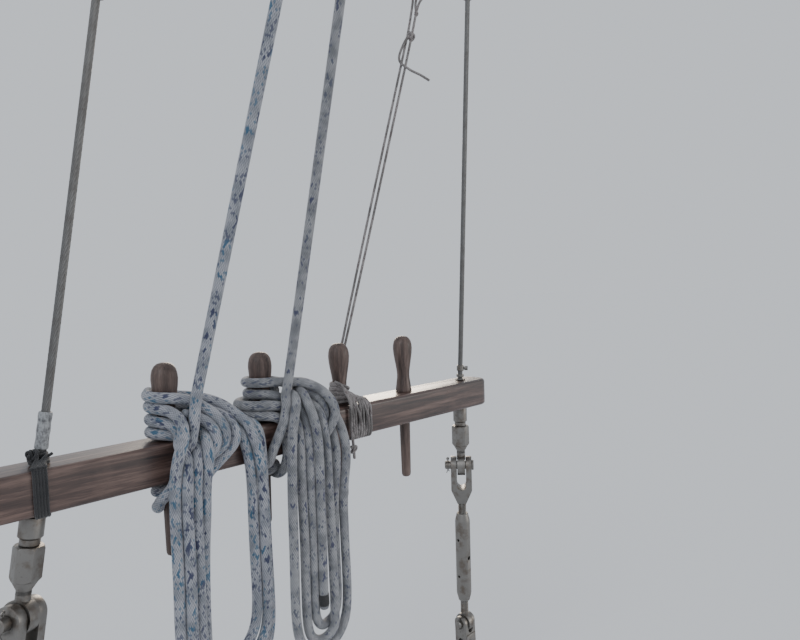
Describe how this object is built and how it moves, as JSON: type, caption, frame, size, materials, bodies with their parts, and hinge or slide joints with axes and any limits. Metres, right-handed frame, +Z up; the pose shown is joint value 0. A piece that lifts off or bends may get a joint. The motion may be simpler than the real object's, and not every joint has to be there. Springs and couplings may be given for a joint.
{
  "type": "shroud-mounted pin rail of a sailing yacht",
  "caption": "Hardwood pin rail carried by two wire shrouds, with belaying pins, belayed and coiled halyards, turnbuckles, toggles and strap chainplates.",
  "frame": {"origin": "centre of the left chainplate's back face, half way down its strap, where it lies against the hull's side", "axes": "+X along the rail from the left shroud to the right one as seen from the deck, +Y outboard, +Z up"},
  "size_m": [0.954, 0.2253, 1.5999],
  "materials": {
    "rail_wood": "varnished, weathered",
    "pin_wood": "oiled, dull",
    "stainless": "dull polish",
    "wire": "stranded wire",
    "sleeve": "grey sleeve",
    "tarred_cord": "tarred cord",
    "fleck_rope": "white braid with blue flecks",
    "plain_rope": "off-white braid with sparse dark flecks",
    "thin_line": "beige cord"
  },
  "bodies": {
    "root": {"belaying_pin_1": "pin_wood", "belaying_pin_2": "pin_wood", "belaying_pin_3": "pin_wood", "halyard_a_coil": "fleck_rope", "halyard_a_standing_part": "fleck_rope", "halyard_a_top_eye": "fleck_rope", "halyard_a_turns": "fleck_rope", "halyard_b_coil": "plain_rope", "halyard_b_standing_part": "plain_rope", "halyard_b_top_eye": "plain_rope", "halyard_b_turns": "plain_rope", "left_chainplate": "stainless", "left_chainplate_pin": "stainless", "left_clevis_pin": "stainless", "left_lower_stud": "stainless", "left_seizing": "tarred_cord", "left_shroud_top_eye": "stainless", "left_shroud_wire": "wire", "left_sleeve": "sleeve", "left_terminal": "stainless", "left_toggle": "stainless", "left_toggle_pin": "stainless", "left_upper_jaw": "stainless", "pin_rail": "rail_wood", "right_chainplate": "stainless", "right_chainplate_pin": "stainless", "right_clevis_pin": "stainless", "right_lower_collar": "stainless", "right_lower_stud": "stainless", "right_rail_washer": "stainless", "right_shroud_top_eye": "stainless", "right_shroud_wire": "wire", "right_terminal": "stainless", "right_toggle": "stainless", "right_toggle_pin": "stainless", "right_upper_collar": "stainless", "right_upper_jaw": "stainless", "thin_line_standing_part": "thin_line", "thin_line_wraps": "thin_line"},
    "left_turnbuckle": {"left_turnbuckle_body": "stainless"},
    "right_turnbuckle": {"right_turnbuckle_body": "stainless"},
    "free_belaying_pin": {"belaying_pin_4": "pin_wood"}
  },
  "joints": [
    {"name": "left_turnbuckle_turn", "type": "hinge", "parent": "root", "child": "left_turnbuckle", "pos_m": [0.07272, -0.01199, 0.47745], "axis": [0.1504, -0.0517, 0.9873], "continuous": true},
    {"name": "right_turnbuckle_turn", "type": "hinge", "parent": "root", "child": "right_turnbuckle", "pos_m": [0.86845, -0.01489, 0.47549], "axis": [-0.0363, -0.0349, 0.9987], "continuous": true},
    {"name": "free_pin_lift", "type": "slide", "parent": "root", "child": "free_belaying_pin", "axis": [0, 0, 1], "range_m": [0, 0.165]}
  ]
}
